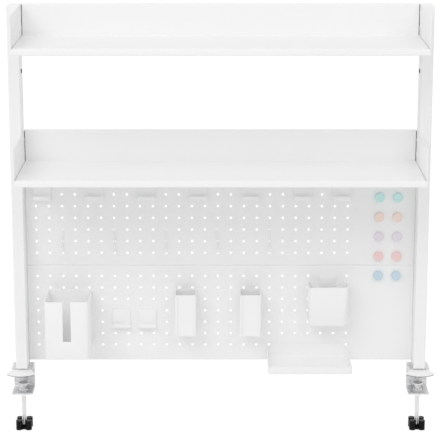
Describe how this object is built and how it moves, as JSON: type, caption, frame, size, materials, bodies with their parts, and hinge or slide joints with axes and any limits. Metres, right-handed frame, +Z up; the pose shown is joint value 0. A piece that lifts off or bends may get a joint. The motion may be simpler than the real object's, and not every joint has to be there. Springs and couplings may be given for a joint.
{
  "type": "clamp-on desk shelf",
  "caption": "Two-tier shelf that clamps to the back edge of a desk, with a pegboard below the shelves carrying hooks, boxes, a cup, a tray and magnets.",
  "frame": {"origin": "on the desktop at its back edge, half way between the two clamps", "axes": "+X to the right, +Y to the back, away from the person at the desk, +Z up"},
  "size_m": [0.926, 0.21, 0.9353],
  "materials": {
    "white_paint": "satin powder coat",
    "zinc": "zinc plated, faintly mottled",
    "black_paint": "satin black",
    "black_plastic": "moulded, fine grain",
    "black_rubber": "smooth sheet",
    "white_plastic": "satin moulded",
    "white_wire": "satin powder coat",
    "teal_plastic": "smooth",
    "peach_plastic": "smooth",
    "lilac_plastic": "smooth",
    "red_plastic": "smooth",
    "blue_plastic": "smooth"
  },
  "bodies": {
    "shelf_unit": {"left_post": "white_paint", "right_post": "white_paint", "post_caps": "white_plastic", "foot_blocks": "zinc", "upper_shelf_tray": "white_paint", "lower_shelf_tray": "white_paint", "upper_left_end_panel": "white_paint", "upper_right_end_panel": "white_paint", "lower_left_end_panel": "white_paint", "lower_right_end_panel": "white_paint", "upper_pegboard": "white_paint", "lower_pegboard": "white_paint", "shelf_screws": "white_paint", "spare_hole_screws": "black_paint", "shelf_rivets": "white_paint", "pegboard_screws": "zinc", "left_clamp_plate": "white_paint", "right_clamp_plate": "white_paint", "desk_pads": "black_rubber", "left_clamp_bracket": "zinc", "right_clamp_bracket": "zinc", "clamp_nuts": "zinc", "clamp_bolts": "zinc"},
    "left_swivel": {"left_swivel_plate": "zinc"},
    "left_screw_and_knob": {"left_clamp_screw": "zinc", "left_clamp_knob": "black_plastic"},
    "right_swivel": {"right_swivel_plate": "zinc"},
    "right_screw_and_knob": {"right_clamp_screw": "zinc", "right_clamp_knob": "black_plastic"},
    "flat_hook_1_body": {"flat_hook_1": "white_plastic"},
    "flat_hook_2_body": {"flat_hook_2": "white_plastic"},
    "flat_hook_3_body": {"flat_hook_3": "white_plastic"},
    "flat_hook_4_body": {"flat_hook_4": "white_plastic"},
    "flat_hook_5_body": {"flat_hook_5": "white_plastic"},
    "flat_hook_6_body": {"flat_hook_6": "white_plastic"},
    "flat_hook_7_body": {"flat_hook_7": "white_plastic"},
    "flat_hook_8_body": {"flat_hook_8": "white_plastic"},
    "flat_hook_9_body": {"flat_hook_9": "white_plastic"},
    "long_hook_1_body": {"long_hook_1": "white_wire"},
    "long_hook_2_body": {"long_hook_2": "white_wire"},
    "long_hook_3_body": {"long_hook_3": "white_wire"},
    "long_hook_4_body": {"long_hook_4": "white_wire"},
    "long_hook_5_body": {"long_hook_5": "white_wire"},
    "tissue_box_body": {"tissue_box": "white_plastic"},
    "left_pen_box_body": {"left_pen_box": "white_plastic"},
    "right_pen_box_body": {"right_pen_box": "white_plastic"},
    "cup_body": {"cup": "white_plastic"},
    "tray_body": {"tray": "white_plastic"},
    "blue_left_magnet_body": {"blue_left_magnet": "blue_plastic"},
    "blue_right_magnet_body": {"blue_right_magnet": "blue_plastic"},
    "red_left_magnet_body": {"red_left_magnet": "red_plastic"},
    "red_right_magnet_body": {"red_right_magnet": "red_plastic"},
    "lilac_left_magnet_body": {"lilac_left_magnet": "lilac_plastic"},
    "lilac_right_magnet_body": {"lilac_right_magnet": "lilac_plastic"},
    "peach_left_magnet_body": {"peach_left_magnet": "peach_plastic"},
    "peach_right_magnet_body": {"peach_right_magnet": "peach_plastic"},
    "teal_left_magnet_body": {"teal_left_magnet": "teal_plastic"},
    "teal_right_magnet_body": {"teal_right_magnet": "teal_plastic"}
  },
  "joints": [
    {"name": "left_clamp_travel", "type": "slide", "parent": "shelf_unit", "child": "left_swivel", "axis": [0, 0, 1], "range_m": [-0.0045, 0.025]},
    {"name": "left_clamp_turn", "type": "hinge", "parent": "left_swivel", "child": "left_screw_and_knob", "pos_m": [-0.4325, -0.024, -0.0345], "axis": [0, 0, 1], "range_deg": [-1084, 6004]},
    {"name": "right_clamp_travel", "type": "slide", "parent": "shelf_unit", "child": "right_swivel", "axis": [0, 0, 1], "range_m": [-0.0045, 0.025]},
    {"name": "right_clamp_turn", "type": "hinge", "parent": "right_swivel", "child": "right_screw_and_knob", "pos_m": [0.4325, -0.024, -0.0345], "axis": [0, 0, 1], "range_deg": [-1084, 6004]},
    {"name": "flat_hook_1_pull", "type": "slide", "parent": "shelf_unit", "child": "flat_hook_1_body", "axis": [0, -1, 0], "range_m": [0, 0.02]},
    {"name": "flat_hook_2_pull", "type": "slide", "parent": "shelf_unit", "child": "flat_hook_2_body", "axis": [0, -1, 0], "range_m": [0, 0.02]},
    {"name": "flat_hook_3_pull", "type": "slide", "parent": "shelf_unit", "child": "flat_hook_3_body", "axis": [0, -1, 0], "range_m": [0, 0.02]},
    {"name": "flat_hook_4_pull", "type": "slide", "parent": "shelf_unit", "child": "flat_hook_4_body", "axis": [0, -1, 0], "range_m": [0, 0.02]},
    {"name": "flat_hook_5_pull", "type": "slide", "parent": "shelf_unit", "child": "flat_hook_5_body", "axis": [0, -1, 0], "range_m": [0, 0.02]},
    {"name": "flat_hook_6_pull", "type": "slide", "parent": "shelf_unit", "child": "flat_hook_6_body", "axis": [0, -1, 0], "range_m": [0, 0.02]},
    {"name": "flat_hook_7_pull", "type": "slide", "parent": "shelf_unit", "child": "flat_hook_7_body", "axis": [0, -1, 0], "range_m": [0, 0.02]},
    {"name": "flat_hook_8_pull", "type": "slide", "parent": "shelf_unit", "child": "flat_hook_8_body", "axis": [0, -1, 0], "range_m": [0, 0.02]},
    {"name": "flat_hook_9_pull", "type": "slide", "parent": "shelf_unit", "child": "flat_hook_9_body", "axis": [0, -1, 0], "range_m": [0, 0.02]},
    {"name": "long_hook_1_pull", "type": "slide", "parent": "shelf_unit", "child": "long_hook_1_body", "axis": [0, -1, 0], "range_m": [0, 0.02]},
    {"name": "long_hook_2_pull", "type": "slide", "parent": "shelf_unit", "child": "long_hook_2_body", "axis": [0, -1, 0], "range_m": [0, 0.02]},
    {"name": "long_hook_3_pull", "type": "slide", "parent": "shelf_unit", "child": "long_hook_3_body", "axis": [0, -1, 0], "range_m": [0, 0.02]},
    {"name": "long_hook_4_pull", "type": "slide", "parent": "shelf_unit", "child": "long_hook_4_body", "axis": [0, -1, 0], "range_m": [0, 0.02]},
    {"name": "long_hook_5_pull", "type": "slide", "parent": "shelf_unit", "child": "long_hook_5_body", "axis": [0, -1, 0], "range_m": [0, 0.02]},
    {"name": "tissue_box_pull", "type": "slide", "parent": "shelf_unit", "child": "tissue_box_body", "axis": [0, -1, 0], "range_m": [0, 0.03]},
    {"name": "left_pen_box_pull", "type": "slide", "parent": "shelf_unit", "child": "left_pen_box_body", "axis": [0, -1, 0], "range_m": [0, 0.03]},
    {"name": "right_pen_box_pull", "type": "slide", "parent": "shelf_unit", "child": "right_pen_box_body", "axis": [0, -1, 0], "range_m": [0, 0.03]},
    {"name": "cup_pull", "type": "slide", "parent": "shelf_unit", "child": "cup_body", "axis": [0, -1, 0], "range_m": [0, 0.03]},
    {"name": "tray_pull", "type": "slide", "parent": "shelf_unit", "child": "tray_body", "axis": [0, -1, 0], "range_m": [0, 0.03]},
    {"name": "blue_left_magnet_pull", "type": "slide", "parent": "shelf_unit", "child": "blue_left_magnet_body", "axis": [0, -1, 0], "range_m": [0, 0.03]},
    {"name": "blue_right_magnet_pull", "type": "slide", "parent": "shelf_unit", "child": "blue_right_magnet_body", "axis": [0, -1, 0], "range_m": [0, 0.03]},
    {"name": "red_left_magnet_pull", "type": "slide", "parent": "shelf_unit", "child": "red_left_magnet_body", "axis": [0, -1, 0], "range_m": [0, 0.03]},
    {"name": "red_right_magnet_pull", "type": "slide", "parent": "shelf_unit", "child": "red_right_magnet_body", "axis": [0, -1, 0], "range_m": [0, 0.03]},
    {"name": "lilac_left_magnet_pull", "type": "slide", "parent": "shelf_unit", "child": "lilac_left_magnet_body", "axis": [0, -1, 0], "range_m": [0, 0.03]},
    {"name": "lilac_right_magnet_pull", "type": "slide", "parent": "shelf_unit", "child": "lilac_right_magnet_body", "axis": [0, -1, 0], "range_m": [0, 0.03]},
    {"name": "peach_left_magnet_pull", "type": "slide", "parent": "shelf_unit", "child": "peach_left_magnet_body", "axis": [0, -1, 0], "range_m": [0, 0.03]},
    {"name": "peach_right_magnet_pull", "type": "slide", "parent": "shelf_unit", "child": "peach_right_magnet_body", "axis": [0, -1, 0], "range_m": [0, 0.03]},
    {"name": "teal_left_magnet_pull", "type": "slide", "parent": "shelf_unit", "child": "teal_left_magnet_body", "axis": [0, -1, 0], "range_m": [0, 0.03]},
    {"name": "teal_right_magnet_pull", "type": "slide", "parent": "shelf_unit", "child": "teal_right_magnet_body", "axis": [0, -1, 0], "range_m": [0, 0.03]}
  ],
  "couplings": [
    {"joint": "left_clamp_turn", "follows": "left_clamp_travel", "rad_per_m": 4188.8},
    {"joint": "right_clamp_turn", "follows": "right_clamp_travel", "rad_per_m": 4188.8}
  ]
}
